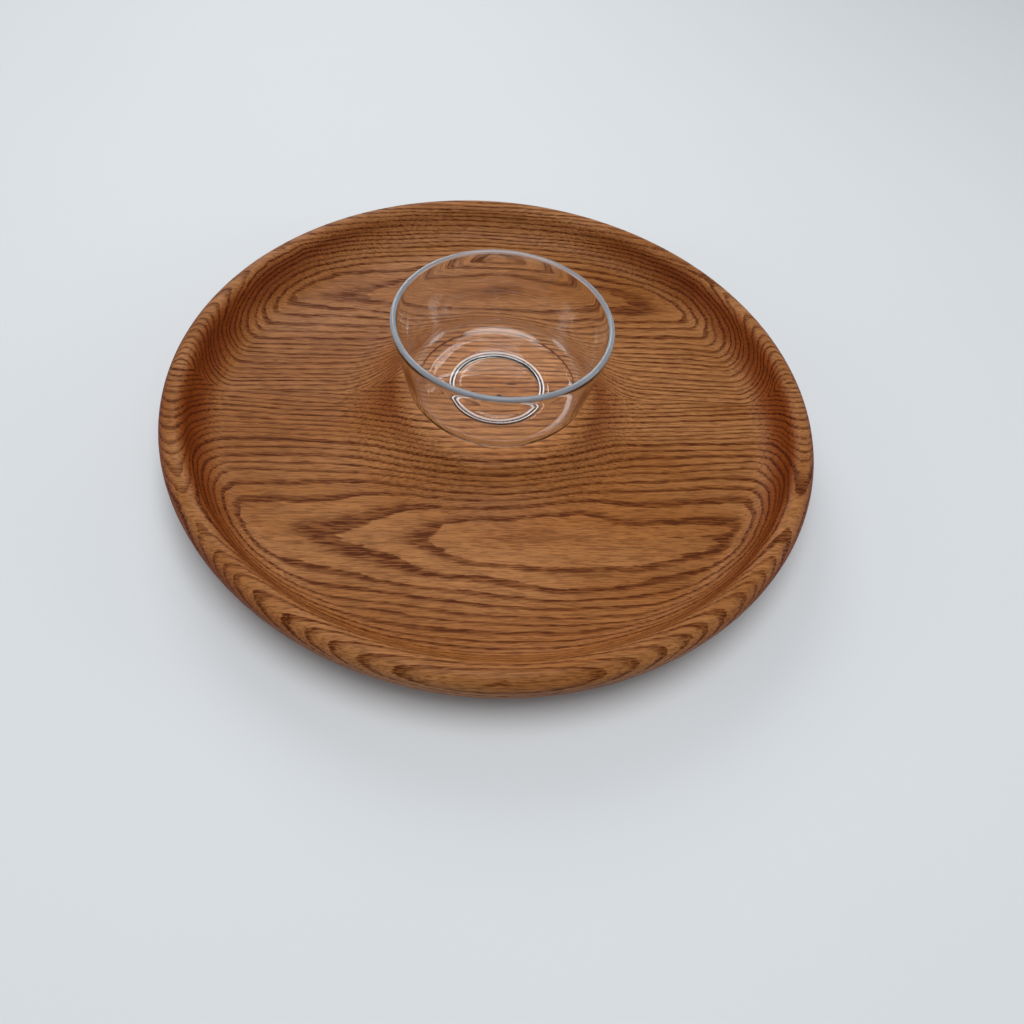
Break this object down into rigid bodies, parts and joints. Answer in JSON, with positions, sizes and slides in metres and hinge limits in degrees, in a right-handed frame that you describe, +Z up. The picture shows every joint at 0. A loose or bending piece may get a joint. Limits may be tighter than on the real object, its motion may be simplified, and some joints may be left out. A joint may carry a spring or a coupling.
{
  "type": "chip and dip server",
  "caption": "Round turned wooden platter with a wide trough for chips and a raised middle, on which a loose clear glass dip bowl stands.",
  "frame": {"origin": "on the platter's turning axis, on the surface the platter stands on", "axes": "+X along the grain and the glue line of the two boards, +Y from the wider front board towards the rear board, +Z up along the turning axis"},
  "size_m": [0.4, 0.4, 0.087],
  "materials": {
    "front_board_oak": "satin oiled red oak, flat-sawn",
    "rear_board_oak": "satin oiled red oak, flat-sawn",
    "bowl_glass": "clear moulded glass, fire polished"
  },
  "bodies": {
    "platter": {"front_board": "front_board_oak", "rear_board": "rear_board_oak"},
    "bowl": {"glass_bowl": "bowl_glass"}
  },
  "joints": [
    {"name": "bowl_lift", "type": "slide", "parent": "platter", "child": "bowl", "axis": [0, 0, 1], "range_m": [0, 0.1]}
  ]
}
